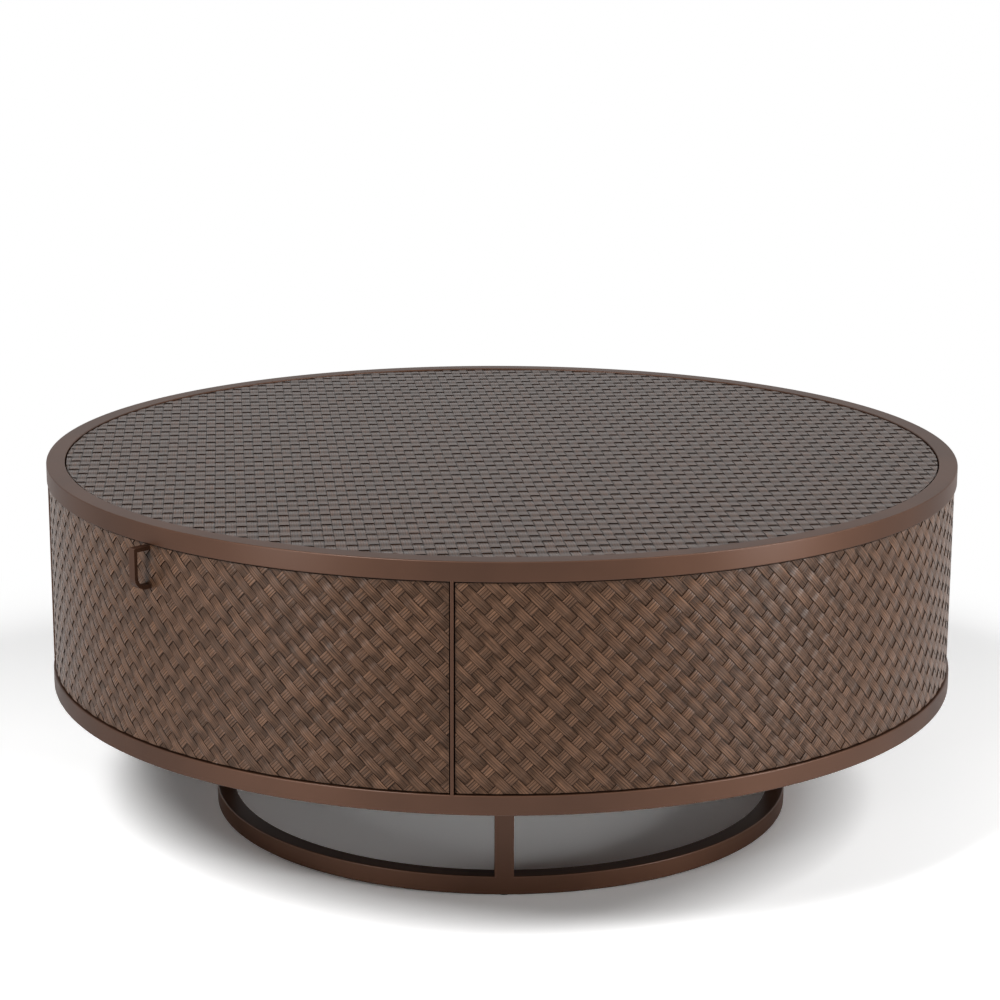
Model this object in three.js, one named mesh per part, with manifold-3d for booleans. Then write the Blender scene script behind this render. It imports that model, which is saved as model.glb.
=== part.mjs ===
// A round storage coffee table: a drum of two square-tube rings, thin bars and woven panels, with a
// drawer in each of two opposite sides, on an open base of two rings and four uprights.
//
// Millimetres, +Z up. The origin is on the floor, on the drum's axis. Drawer A opens towards -Y and
// drawer B towards +Y. An azimuth is an angle round the table from -Y, positive towards +X.

import * as THREE from "three";
import { mergeVertices } from "three/addons/utils/BufferGeometryUtils.js";
import Module from "manifold-3d";

const wasm = await Module();
wasm.setup();

// Driving sizes of the whole table

const tableDiameter = 1200;
const drumHeight = 298.5;
const baseHeight = 183.5;
const baseDiameter = 775;
const tubeSize = 24;
const tubeEdge = 1.5;

const radians = THREE.MathUtils.degToRad;
const drawerHalfAngle = radians(39);
const uprightAzimuth = radians(45);

// Panels, boards and the gaps between them

const seatGap = 0.3;
const shadowGap = 1.5;
const mullionWidth = 4;
const panelRecess = 2.7;
const weaveThickness = 2.2;
const bentBoardThickness = 9;
const battenWidth = 40;
const battenThickness = 18;
const topRecess = 1;
const topBoardThickness = 16;
const bottomBoardThickness = 15;
const topGap = 2;
const boardGap = 1.2;
const tabWidth = 36;
const tabDepth = 25;
const tabThickness = 3;

// Carcass and drawers

const partitionThickness = 12;
const partitionSideGap = 4;
const partitionEndGap = 1;
const drawerRise = 5;
const drawerSideHeight = 160;
const drawerWall = 12;
const drawerBackSpace = 30;
const drawerBottomThickness = 6;
const grooveDepth = 5;
const grooveRise = 8;
const pinHeight = 16;
const pinFlare = 3;
const pinGap = 0.25;

// Telescopic runners

const runnerHeight = 45;
const runnerDepth = 12.7;
const runnerSteel = 1.2;
const runnerPlay = 0.5;
const runnerFrontInset = 4;
const runnerBackInset = 30;

// Pull and its screws

const pullWidth = 10.3;
const pullThickness = 5;
const pullStandoff = 23.4;
const pullHeight = 51.9;
const pullBend = 16.5;
const pullCorner = 1.5;
const pullTopInset = 0.9;
const screwRadius = 1.5;
const screwPlay = 0.2;
const screwHeadRadius = 3;
const screwHeadHeight = 2;
const screwBite = 6;

// Floor glides

const glideRadius = 9;
const glideThickness = 1.5;

// Numbers of facets and copies

const ringFacets = 72;
const frontFacets = 16;
const panelFacets = 20;
const bendFacets = 5;
const screwFacets = 10;
const glideFacets = 20;
const battenFacet = 6;
const tabCount = 8;
const uprightCount = 4;
const pinCount = 3;

// Modelling allowances

const overrun = 1;
const weldTolerance = 0.001;

// Sizes that follow from the driving ones

const drumRadius = tableDiameter / 2;
const ringInner = drumRadius - tubeSize;
const baseRadius = baseDiameter / 2;
const tableHeight = baseHeight + drumHeight;
const bottomRingTop = baseHeight + tubeSize;
const rimBottom = tableHeight - tubeSize;
const facetCosine = Math.cos(Math.PI / ringFacets);

const bottomBoardLow = baseHeight + seatGap;
const bottomBoardTop = bottomBoardLow + bottomBoardThickness;
const weaveTop = tableHeight - topRecess;
const topBoardTop = weaveTop - weaveThickness - seatGap;
const topBoardLow = topBoardTop - topBoardThickness;
const boardRadius = ringInner - boardGap;

const panelLow = bottomRingTop + shadowGap;
const panelHigh = rimBottom - shadowGap;
const panelSideOffset = mullionWidth / 2 + shadowGap;
const weaveOuter = drumRadius - panelRecess;
const weaveInner = weaveOuter - weaveThickness;
const boardOuter = weaveInner - seatGap;
const boardInner = boardOuter - bentBoardThickness;

const mullionInnerCorner = ringInner * Math.sin(drawerHalfAngle)
  - (mullionWidth / 2) * Math.cos(drawerHalfAngle);
const partitionOuter = mullionInnerCorner - partitionSideGap;
const partitionInner = partitionOuter - partitionThickness;
const partitionReach = Math.sqrt((ringInner * facetCosine) ** 2 - partitionOuter ** 2)
  - partitionEndGap;
const partitionLow = bottomBoardTop + seatGap;
const partitionHigh = topBoardLow - seatGap;

const drawerSideOuter = partitionInner - runnerDepth - 2 * seatGap;
const drawerSideInner = drawerSideOuter - drawerWall;
const drawerLow = bottomRingTop + drawerRise;
const drawerHigh = drawerLow + drawerSideHeight;
const drawerBackOuter = partitionThickness / 2 + drawerBackSpace;
const drawerBackInner = drawerBackOuter + drawerWall;
const drawerBottomLow = drawerLow + grooveRise;
const drawerBottomHigh = drawerBottomLow + drawerBottomThickness;
const grooveLow = drawerBottomLow - seatGap;
const grooveHigh = drawerBottomHigh + seatGap;

const runnerMiddle = drawerLow + drawerSideHeight / 2;
const runnerFront = partitionReach - runnerFrontInset;
const runnerBack = partitionThickness / 2 + runnerBackInset;
const runnerLength = runnerFront - runnerBack;

const pullHigh = panelHigh - pullTopInset;
const pullLow = pullHigh - pullHeight;

// Finishes

function finish(color, roughness, metalness) {
  return new THREE.MeshStandardMaterial({ color, roughness, metalness });
}

const bronze = () => finish("#5a4436", 0.42, 0.85);
const wovenCane = () => finish("#86705c", 0.62, 0);
const veneer = () => finish("#6b4f3a", 0.6, 0);
const birchPly = () => finish("#c9a877", 0.65, 0);
const zincSteel = () => finish("#a9adb0", 0.35, 0.9);
const screwSteel = () => finish("#8d9093", 0.3, 0.9);
const blackPad = () => finish("#1d1c1b", 0.9, 0);

// Helpers: places, solids and cuts

function around(radius, azimuth) {
  return new THREE.Vector2(radius * Math.sin(azimuth), -radius * Math.cos(azimuth));
}

function piece(parent, name, geometry, material) {
  const mesh = new THREE.Mesh(geometry, material);
  mesh.name = name;
  parent.add(mesh);
  return mesh;
}

function solid(geometry) {
  const bare = geometry.clone();
  bare.deleteAttribute("normal");
  bare.deleteAttribute("uv");
  const merged = mergeVertices(bare, weldTolerance);
  const vertProperties = new Float32Array(merged.attributes.position.array);
  const triVerts = new Uint32Array(merged.index.array);
  return new wasm.Manifold(new wasm.Mesh({ numProp: 3, vertProperties, triVerts }));
}

function geometryOf(manifold) {
  const mesh = manifold.getMesh();
  const geometry = new THREE.BufferGeometry();
  geometry.setAttribute("position", new THREE.BufferAttribute(mesh.vertProperties, 3));
  geometry.setIndex(new THREE.BufferAttribute(mesh.triVerts, 1));
  const flat = geometry.toNonIndexed();
  flat.computeVertexNormals();
  return flat;
}

function cut(body, tools) {
  return geometryOf(tools.reduce((left, tool) => left.subtract(solid(tool)), solid(body)));
}

function joined(bodies) {
  return geometryOf(bodies.map(solid).reduce((sum, body) => sum.add(body)));
}

// A box between two corners.
function block(low, high) {
  const size = new THREE.Vector3().subVectors(high, low);
  const middle = new THREE.Vector3().addVectors(low, high).multiplyScalar(0.5);
  return new THREE.BoxGeometry(size.x, size.y, size.z).translate(middle.x, middle.y, middle.z);
}

const corner = (x, y, z) => new THREE.Vector3(x, y, z);

// A profile of radius and height points turned about the table's axis.
function revolved(points) {
  return new THREE.LatheGeometry(points, ringFacets).rotateX(Math.PI / 2);
}

// A flat outline in plan, raised between two heights.
function raised(shape, low, high, curveSegments) {
  const settings = { depth: high - low, bevelEnabled: false, curveSegments };
  return new THREE.ExtrudeGeometry(shape, settings).translate(0, 0, low);
}

// An outline of (x, z), carried towards -Y from y = -near to y = -far.
function carriedForward(shape, near, far) {
  const settings = { depth: far - near, bevelEnabled: false };
  const turn = new THREE.Matrix4().makeBasis(corner(1, 0, 0), corner(0, 0, 1), corner(0, -1, 0));
  return new THREE.ExtrudeGeometry(shape, settings).applyMatrix4(turn).translate(0, -near, 0);
}

// An outline of (distance towards -Y, z), carried across from x = low to x = high.
function carriedAcross(shape, low, high, curveSegments) {
  const settings = { depth: high - low, bevelEnabled: false, curveSegments };
  const turn = new THREE.Matrix4().makeBasis(corner(0, -1, 0), corner(0, 0, 1), corner(-1, 0, 0));
  return new THREE.ExtrudeGeometry(shape, settings).applyMatrix4(turn).translate(high, 0, 0);
}

// A round bar along Y, from y = -near to y = -far.
function barForward(radius, near, far, x, z, facets) {
  return new THREE.CylinderGeometry(radius, radius, far - near, facets).translate(x, -(near + far) / 2, z);
}

// Section of square tube round a middle point, anticlockwise, with its corners broken.
function tubeSection(middleX, middleY) {
  const half = tubeSize / 2;
  const flat = half - tubeEdge;
  const outline = [
    [flat, -half], [half, -flat], [half, flat], [flat, half],
    [-flat, half], [-half, flat], [-half, -flat], [-flat, -half],
  ];
  return outline.map(([x, y]) => new THREE.Vector2(middleX + x, middleY + y));
}

// Square tube bent to a ring: its section turned about the axis.
function tubeRing(outer, low) {
  const section = tubeSection(outer - tubeSize / 2, low + tubeSize / 2);
  return revolved([...section, section[0]]);
}

// A tab welded to the inner face of a drum ring, on the middle of one of its facets.
function ringTab(index, low) {
  const face = ringInner * facetCosine;
  const azimuth = (2 * Math.PI * index) / tabCount + Math.PI / tabCount;
  const tab = block(
    corner(-tabWidth / 2, -face - overrun, low),
    corner(tabWidth / 2, -face + tabDepth, low + tabThickness),
  );
  return tab.rotateZ(azimuth);
}

function ringWithTabs(ringLow, tabLow) {
  const tabs = Array.from({ length: tabCount }, (_, index) => ringTab(index, tabLow));
  return joined([tubeRing(drumRadius, ringLow), ...tabs]);
}

function disc(radius, low, high) {
  return new THREE.CylinderGeometry(radius, radius, high - low, ringFacets)
    .rotateX(Math.PI / 2)
    .translate(0, 0, (low + high) / 2);
}

// Plan of a bent panel between two upright bars. Its ends lie along the bars, one side offset away
// from each bar's middle line.
function bentPlan(inner, outer, middleAzimuth, halfAngle) {
  const lead = (radius) => halfAngle - Math.asin(panelSideOffset / radius);
  const start = middleAzimuth - Math.PI / 2;
  const shape = new THREE.Shape();
  shape.absarc(0, 0, outer, start - lead(outer), start + lead(outer), false);
  shape.absarc(0, 0, inner, start + lead(inner), start - lead(inner), true);
  shape.closePath();
  return shape;
}

const table = new THREE.Group();

// Drum: rings, upright bars, top and bottom

piece(table, "top_rim", ringWithTabs(rimBottom, topBoardLow - seatGap - tabThickness), bronze());
piece(table, "top_board", disc(boardRadius, topBoardLow, topBoardTop), birchPly());
piece(table, "top_weave", disc(ringInner - topGap, topBoardTop + seatGap, weaveTop), wovenCane());
piece(table, "bottom_ring", ringWithTabs(baseHeight, bottomBoardTop + seatGap), bronze());
piece(table, "bottom_board", disc(boardRadius, bottomBoardLow, bottomBoardTop), birchPly());

function mullion(azimuth) {
  const bar = block(
    corner(-mullionWidth / 2, -drumRadius, bottomRingTop + seatGap),
    corner(mullionWidth / 2, -ringInner, rimBottom - seatGap),
  );
  return bar.rotateZ(azimuth);
}

piece(table, "mullion_front_left", mullion(-drawerHalfAngle), bronze());
piece(table, "mullion_front_right", mullion(drawerHalfAngle), bronze());
piece(table, "mullion_back_left", mullion(Math.PI + drawerHalfAngle), bronze());
piece(table, "mullion_back_right", mullion(Math.PI - drawerHalfAngle), bronze());

// Fixed side panels: bent board with a woven face, held between the rings by two upright battens

const panelHalfAngle = Math.PI / 2 - drawerHalfAngle;

function batten(azimuth) {
  const halfStep = panelHalfAngle / panelFacets;
  const face = boardInner * Math.cos(halfStep) - seatGap;
  const strip = block(
    corner(-battenWidth / 2, -face, bottomRingTop + seatGap),
    corner(battenWidth / 2, -face + battenThickness, rimBottom - seatGap),
  );
  return strip.rotateZ(azimuth);
}

function fixedPanel(side, azimuth) {
  const board = bentPlan(boardInner, boardOuter, azimuth, panelHalfAngle);
  const weave = bentPlan(weaveInner, weaveOuter, azimuth, panelHalfAngle);
  const step = (2 * panelHalfAngle) / panelFacets;
  const battenTurn = (battenFacet - 0.5) * step;
  piece(table, `side_board_${side}`, raised(board, panelLow, panelHigh, panelFacets), veneer());
  piece(table, `side_weave_${side}`, raised(weave, panelLow, panelHigh, panelFacets), wovenCane());
  piece(table, `batten_${side}_front`, batten(azimuth - Math.sign(azimuth) * battenTurn), birchPly());
  piece(table, `batten_${side}_back`, batten(azimuth + Math.sign(azimuth) * battenTurn), birchPly());
}

fixedPanel("right", Math.PI / 2);
fixedPanel("left", -Math.PI / 2);

// Carcass: two partitions that carry the runners, and a divider between the drawers

function partition(side) {
  const low = corner(-partitionThickness / 2, -partitionReach, partitionLow);
  const high = corner(partitionThickness / 2, partitionReach, partitionHigh);
  return block(low, high).translate((side * (partitionInner + partitionOuter)) / 2, 0, 0);
}

piece(table, "partition_left", partition(-1), birchPly());
piece(table, "partition_right", partition(1), birchPly());

const dividerReach = partitionInner - seatGap;
const divider = block(
  corner(-dividerReach, -partitionThickness / 2, partitionLow),
  corner(dividerReach, partitionThickness / 2, partitionHigh),
);
piece(table, "centre_divider", divider, birchPly());

// Base: a ring on the floor, a ring under the drum and four uprights between them

piece(table, "base_ring", tubeRing(baseRadius, glideThickness + seatGap), bronze());
piece(table, "base_top_ring", tubeRing(baseRadius, baseHeight - tubeSize - seatGap), bronze());

const baseFace = baseRadius * facetCosine;

// A length of the same tube, standing flush with the rings' outer face.
function upright(azimuth) {
  const section = new THREE.Shape(tubeSection(0, tubeSize / 2 - baseRadius));
  const low = glideThickness + tubeSize + 2 * seatGap;
  const high = baseHeight - tubeSize - 2 * seatGap;
  return raised(section, low, high).rotateZ(azimuth);
}

function glide(azimuth) {
  const place = around(baseFace - tubeSize / 2, azimuth);
  return new THREE.CylinderGeometry(glideRadius, glideRadius, glideThickness, glideFacets)
    .rotateX(Math.PI / 2)
    .translate(place.x, place.y, glideThickness / 2);
}

for (let index = 0; index < uprightCount; index += 1) {
  const azimuth = uprightAzimuth + (2 * Math.PI * index) / uprightCount;
  piece(table, `upright_${index + 1}`, upright(azimuth), bronze());
  piece(table, `floor_glide_${index + 1}`, glide(azimuth), blackPad());
}

// Drawers, modelled as drawer A opens, towards -Y

const frontHalfStep = drawerHalfAngle / frontFacets;
const frontReach = boardInner * Math.cos(frontHalfStep) - seatGap;
const reachAt = (x) => Math.sqrt(frontReach ** 2 - x ** 2);

// Holes for the two screws that hold the pull, through the front and into the pull's legs.
function pullHoles(near, far) {
  const middles = [pullHigh - pullThickness / 2, pullLow + pullThickness / 2];
  return middles.map((z) => barForward(screwRadius + screwPlay, near, far, 0, z, screwFacets));
}

function drawerFrontBoard() {
  const plan = bentPlan(boardInner, boardOuter, 0, drawerHalfAngle);
  return cut(
    raised(plan, panelLow, panelHigh, frontFacets),
    pullHoles(boardInner * Math.cos(frontHalfStep) - overrun, boardOuter + overrun),
  );
}

function drawerFrontWeave() {
  const plan = bentPlan(weaveInner, weaveOuter, 0, drawerHalfAngle);
  return cut(
    raised(plan, panelLow, panelHigh, frontFacets),
    pullHoles(weaveInner * Math.cos(frontHalfStep) - overrun, weaveOuter + overrun),
  );
}

// Flat strip bent to a pull: a straight top leg, an upright grip, a round bend and a lower leg.
function pull() {
  const foot = weaveOuter + seatGap;
  const face = weaveOuter + pullStandoff;
  const inside = face - pullThickness;
  const bendIn = pullBend - pullThickness;
  const bendX = face - pullBend;
  const bendZ = pullLow + pullBend;
  const shape = new THREE.Shape();
  shape.moveTo(foot, pullHigh - pullThickness);
  shape.lineTo(inside, pullHigh - pullThickness);
  shape.lineTo(inside, bendZ);
  shape.absarc(bendX, bendZ, bendIn, 0, -Math.PI / 2, true);
  shape.lineTo(foot, pullLow + pullThickness);
  shape.lineTo(foot, pullLow);
  shape.lineTo(bendX, pullLow);
  shape.absarc(bendX, bendZ, pullBend, -Math.PI / 2, 0, false);
  shape.lineTo(face, pullHigh - pullCorner);
  shape.lineTo(face - pullCorner, pullHigh);
  shape.lineTo(foot, pullHigh);
  shape.closePath();
  const strip = carriedAcross(shape, -pullWidth / 2, pullWidth / 2, bendFacets);
  return cut(strip, pullHoles(foot - overrun, foot + screwBite + screwPlay));
}

// A screw from inside the drawer: head behind the front board, shank into the pull's leg.
function pullScrew(z) {
  const head = boardInner * Math.cos(frontHalfStep) - seatGap;
  const tip = weaveOuter + seatGap + screwBite;
  return joined([
    barForward(screwHeadRadius, head - screwHeadHeight, head, 0, z, screwFacets),
    barForward(screwRadius, head - screwHeadHeight / 2, tip, 0, z, screwFacets),
  ]);
}

// Plan of a drawer side: square at the back, cut on the slant at the front to meet the bent board.
function sidePlan(low, high) {
  const shape = new THREE.Shape();
  shape.moveTo(low, -drawerBackOuter);
  shape.lineTo(low, -reachAt(low));
  shape.lineTo(high, -reachAt(high));
  shape.lineTo(high, -drawerBackOuter);
  shape.closePath();
  return shape;
}

// Outline of one dovetail pin of the back, wider at the drawer's inside, grown all round by a gap.
function pinOutline(index, grow) {
  const pitch = drawerSideHeight / (pinCount + 1);
  const middle = drawerLow + pitch * (index + 1);
  const narrow = pinHeight / 2 - pinFlare + grow;
  const wide = pinHeight / 2 + grow;
  const shape = new THREE.Shape();
  shape.moveTo(drawerBackOuter - grow, middle - narrow);
  shape.lineTo(drawerBackInner + grow, middle - wide);
  shape.lineTo(drawerBackInner + grow, middle + wide);
  shape.lineTo(drawerBackOuter - grow, middle + narrow);
  shape.closePath();
  return shape;
}

const pinIndices = Array.from({ length: pinCount }, (_, index) => index);

// A drawer side on the +X side. Sockets at its back take the dovetail pins, and a groove the bottom.
function drawerSide() {
  const body = raised(sidePlan(drawerSideInner, drawerSideOuter), drawerLow, drawerHigh);
  const sockets = pinIndices.map((index) => carriedAcross(
    pinOutline(index, pinGap), drawerSideInner - overrun, drawerSideOuter + overrun,
  ));
  const groove = block(
    corner(drawerSideInner - overrun, -boardOuter, grooveLow),
    corner(drawerSideInner + grooveDepth, -drawerBackInner, grooveHigh),
  );
  return cut(body, [...sockets, groove]);
}

// The back between the sides, with a dovetail pin at each end of each row, and a groove.
function drawerBack() {
  const reach = drawerSideInner - seatGap;
  const panel = block(
    corner(-reach, -drawerBackInner, drawerLow),
    corner(reach, -drawerBackOuter, drawerHigh),
  );
  const pins = pinIndices.map((index) => carriedAcross(
    pinOutline(index, 0), -drawerSideOuter, drawerSideOuter,
  ));
  const groove = block(
    corner(-reach - overrun, -drawerBackInner - overrun, grooveLow),
    corner(reach + overrun, -drawerBackInner + grooveDepth, grooveHigh),
  );
  return cut(joined([panel, ...pins]), [groove]);
}

// The bottom lies in the grooves and its front edge follows the bent board.
function drawerBottom() {
  const half = drawerSideInner + grooveDepth - seatGap;
  const back = drawerBackInner - grooveDepth + seatGap;
  const lead = Math.asin(half / frontReach);
  const start = -Math.PI / 2;
  const shape = new THREE.Shape();
  shape.moveTo(drawerSideInner - seatGap, -back);
  shape.lineTo(-drawerSideInner + seatGap, -back);
  shape.lineTo(-drawerSideInner + seatGap, -drawerBackInner - seatGap);
  shape.lineTo(-half, -drawerBackInner - seatGap);
  shape.lineTo(-half, -reachAt(half));
  shape.absarc(0, 0, frontReach, start - lead, start + lead, false);
  shape.lineTo(half, -drawerBackInner - seatGap);
  shape.lineTo(drawerSideInner - seatGap, -drawerBackInner - seatGap);
  shape.closePath();
  return raised(shape, drawerBottomLow, drawerBottomHigh, frontFacets);
}

// A runner member: a steel channel that opens towards +X where open is 1 and towards -X where it is -1.
function channel(webX, tipX, height) {
  const open = Math.sign(tipX - webX);
  const webInside = webX + open * runnerSteel;
  const half = height / 2;
  const shape = new THREE.Shape();
  shape.moveTo(webX, runnerMiddle - half);
  shape.lineTo(tipX, runnerMiddle - half);
  shape.lineTo(tipX, runnerMiddle - half + runnerSteel);
  shape.lineTo(webInside, runnerMiddle - half + runnerSteel);
  shape.lineTo(webInside, runnerMiddle + half - runnerSteel);
  shape.lineTo(tipX, runnerMiddle + half - runnerSteel);
  shape.lineTo(tipX, runnerMiddle + half);
  shape.lineTo(webX, runnerMiddle + half);
  shape.closePath();
  return carriedForward(shape, runnerBack, runnerBack + runnerLength);
}

const memberStep = runnerSteel + runnerPlay;
const cabinetWeb = partitionInner - seatGap;
const drawerWeb = drawerSideOuter + seatGap;
const middleWeb = cabinetWeb - memberStep;
const openTip = drawerWeb + memberStep;
const middleHeight = runnerHeight - 2 * memberStep;
const innerHeight = middleHeight - 2 * memberStep;

const cabinetMember = () => channel(cabinetWeb, openTip, runnerHeight);
const middleMember = () => channel(middleWeb, openTip, middleHeight);
const drawerMember = () => channel(drawerWeb, middleWeb - memberStep, innerHeight);

// A right-hand piece and its mirror image at the left.
function bothSides(parent, name, make, material) {
  piece(parent, name("right"), make(), material());
  const left = piece(parent, name("left"), make(), material());
  left.scale.x = -1;
}

function addDrawer(letter, turn) {
  const drawer = new THREE.Group();
  drawer.rotation.z = turn;
  const name = (part) => `drawer_${letter}_${part}`;
  piece(drawer, name("front"), drawerFrontBoard(), veneer());
  piece(drawer, name("weave"), drawerFrontWeave(), wovenCane());
  piece(drawer, name("pull"), pull(), bronze());
  piece(drawer, name("screw_top"), pullScrew(pullHigh - pullThickness / 2), screwSteel());
  piece(drawer, name("screw_low"), pullScrew(pullLow + pullThickness / 2), screwSteel());
  piece(drawer, name("back"), drawerBack(), birchPly());
  piece(drawer, name("bottom"), drawerBottom(), birchPly());
  bothSides(drawer, (side) => name(`side_${side}`), drawerSide, birchPly);
  bothSides(drawer, (side) => `runner_${letter}_${side}_cabinet`, cabinetMember, zincSteel);
  bothSides(drawer, (side) => `runner_${letter}_${side}_middle`, middleMember, zincSteel);
  bothSides(drawer, (side) => `runner_${letter}_${side}_drawer`, drawerMember, zincSteel);
  table.add(drawer);
}

addDrawer("a", 0);
addDrawer("b", Math.PI);

export default table;
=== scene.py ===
# %% [markdown]
# # A round storage table in bronze tube and woven cane
# The real table is a drum: two rings of square steel tube with thin bars between them, woven panels
# in the openings, and a drawer behind two of the panels. A narrower ring base lifts it off the floor.
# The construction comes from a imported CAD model, which never moves. This lesson dresses it: the tube
# gets smooth bends and a bronze finish, and the woven sheets are laid strip by strip.

import math

import bpy
import numpy as np
from mathutils import Matrix, Vector


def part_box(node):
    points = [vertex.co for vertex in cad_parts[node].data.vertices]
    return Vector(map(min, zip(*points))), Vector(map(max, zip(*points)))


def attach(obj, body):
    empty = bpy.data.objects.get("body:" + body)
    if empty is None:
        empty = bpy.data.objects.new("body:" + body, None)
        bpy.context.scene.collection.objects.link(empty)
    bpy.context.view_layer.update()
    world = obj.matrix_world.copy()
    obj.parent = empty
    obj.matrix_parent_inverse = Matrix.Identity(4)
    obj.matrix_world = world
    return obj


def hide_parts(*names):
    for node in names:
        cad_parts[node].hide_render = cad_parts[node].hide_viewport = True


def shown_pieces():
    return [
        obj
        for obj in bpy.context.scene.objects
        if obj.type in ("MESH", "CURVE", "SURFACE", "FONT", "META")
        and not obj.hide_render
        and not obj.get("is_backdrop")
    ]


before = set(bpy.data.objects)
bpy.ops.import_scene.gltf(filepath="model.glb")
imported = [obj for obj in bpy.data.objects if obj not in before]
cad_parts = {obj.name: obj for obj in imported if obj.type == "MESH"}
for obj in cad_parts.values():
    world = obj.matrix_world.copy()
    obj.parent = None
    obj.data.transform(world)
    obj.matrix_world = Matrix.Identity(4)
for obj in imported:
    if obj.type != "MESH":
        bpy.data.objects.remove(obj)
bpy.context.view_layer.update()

# %% [markdown]
# Blender works in metres, but cane, tube and board are easier to think of in millimetres. So every
# shape is worked out in millimetres and turned to metres once, when it becomes a mesh. The main sizes
# are read from the CAD nodes, so a new pack carries them through. Thicknesses, gaps and the angle of a
# drawer front, which no node's box gives, are written out as the CAD source has them.

# %% Sizes read from the frame
MM = 0.001


def box_mm(node):
    """Lowest and highest corner of a CAD node, in millimetres."""
    return tuple(np.array(corner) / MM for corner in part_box(node))


rim_low, rim_high = box_mm("top_rim")
foot_low, foot_high = box_mm("bottom_ring")
base_low, base_high = box_mm("base_ring")
base_top_low = box_mm("base_top_ring")[0]
weave_low, weave_high = box_mm("side_weave_right")
top_low, top_high = box_mm("top_weave")

drum_radius = rim_high[0]
base_radius = base_high[0]
tube = rim_high[2] - rim_low[2]
tube_corner = 1.5
panel_low, panel_high = weave_low[2], weave_high[2]
weave_outer = weave_high[0]
sheet_thickness, glue_line, board_thickness = 2.2, 0.3, 9
weave_inner = weave_outer - sheet_thickness
board_outer = weave_inner - glue_line
board_inner = board_outer - board_thickness
drawer_half = math.radians(39)
panel_half = math.pi / 2 - drawer_half
bar_width, drawer_gap = 4, 1.5
panel_side_offset = bar_width / 2 + drawer_gap
print(f"drum radius {drum_radius:.1f}, tube {tube:.1f}, panels {panel_low:.1f} to {panel_high:.1f}")

# %% [markdown]
# Two small helpers carry the whole scene. A colour is written as the hex value a designer would
# name, and one function turns it into the linear light that shaders count in. The other adds a node
# to a tree with its settings and its links, so that a material reads like a recipe.

# %% Colours and nodes


def linear(hex_colour):
    """sRGB hex to linear RGBA: a channel c up to 0.04045 is divided by 12.92, above it is
    ((c + 0.055) / 1.055) ** 2.4."""
    channels = [int(hex_colour[i : i + 2], 16) / 255 for i in (1, 3, 5)]
    light = [c / 12.92 if c <= 0.04045 else ((c + 0.055) / 1.055) ** 2.4 for c in channels]
    return (*light, 1.0)


def add(tree, kind, inputs=None, **settings):
    """Adds a node. Settings are its own properties, and inputs maps a socket to a value, to another
    node's output, or to a node, whose first output in use is meant."""
    node = tree.nodes.new(kind)
    for name, value in settings.items():
        setattr(node, name, value)
    for socket, value in (inputs or {}).items():
        if isinstance(value, bpy.types.Node):
            value = next(output for output in value.outputs if output.enabled)
        if isinstance(value, bpy.types.NodeSocket):
            tree.links.new(value, node.inputs[socket])
        else:
            node.inputs[socket].default_value = value
    return node


def grains(size_mm):
    """Scale of a pattern whose grains are size_mm wide: one over that size in metres."""
    return 1 / (size_mm * MM)


def new_material(name):
    """An empty material with its output node, ready for a shader."""
    material = bpy.data.materials.new(name)
    material.use_nodes = True
    material.node_tree.nodes.clear()
    return material, material.node_tree


def finish_material(tree, shader):
    """Links a shader to the surface output."""
    add(tree, "ShaderNodeOutputMaterial", {"Surface": shader})


print("brown #6b4f3a is", [round(c, 3) for c in linear("#6b4f3a")])

# %% [markdown]
# The picture was taken from a little above, with a long lens. The camera was solved from the outlines
# of the three rings, and its place is written in a frame that is turned with the line of view: X to
# the right of the picture, Y away from the lens. One turn about the table's axis then brings it into
# the frame of the part, where the drawers open along Y.

# %% Camera
view_turn = math.radians(44.22)
camera_x, camera_y, camera_z = 4.35, -3358.2, 1211.5
camera_pitch = math.radians(13.432)
camera_yaw = math.radians(-0.1145)
camera_roll = math.radians(0.2140)
focal_share = 2.5728
sensor_mm = 36
far_clip = 100

right = Vector((math.cos(camera_yaw), -math.sin(camera_yaw), 0))
ahead = Vector((
    math.sin(camera_yaw) * math.cos(camera_pitch),
    math.cos(camera_yaw) * math.cos(camera_pitch),
    -math.sin(camera_pitch),
))
up = right.cross(ahead)
rolled_right = right * math.cos(camera_roll) + up * math.sin(camera_roll)
rolled_up = up * math.cos(camera_roll) - right * math.sin(camera_roll)
axes = Matrix((rolled_right, rolled_up, -ahead)).transposed().to_4x4()
to_part = Matrix.Rotation(view_turn, 4, "Z")
camera_data = bpy.data.cameras.new("camera")
camera_data.sensor_width = sensor_mm
camera_data.lens = sensor_mm * focal_share
camera_data.clip_end = far_clip
camera = bpy.data.objects.new("camera", camera_data)
place = Matrix.Translation(Vector((camera_x, camera_y, camera_z)) * MM)
camera.matrix_world = to_part @ place @ axes
bpy.context.scene.collection.objects.link(camera)
bpy.context.scene.camera = camera
print("lens", round(camera_data.lens, 2), "mm, camera at", [round(c, 3) for c in camera.location])

# %% [markdown]
# A product table is shot on a white sweep with large soft lamps. Two high banks stand in front of it,
# to the left and to the right of the lens, and model the drum. A low lamp under each reaches beneath
# the drum, to the base, and a small bank at the far right draws the edge there. None stands behind the
# table, because the woven top would mirror it. The world fills the shadows: it looks white to the
# camera and in reflections, and is much dimmer as a light, so that colours come out as written.

# %% Studio: world, floor and lamps
scene = bpy.context.scene
scene.view_settings.view_transform = "Standard"

world = bpy.data.worlds.new("studio")
world.use_nodes = True
scene.world = world
sky = world.node_tree
sky.nodes.clear()
fill_level = 0.08


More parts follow.
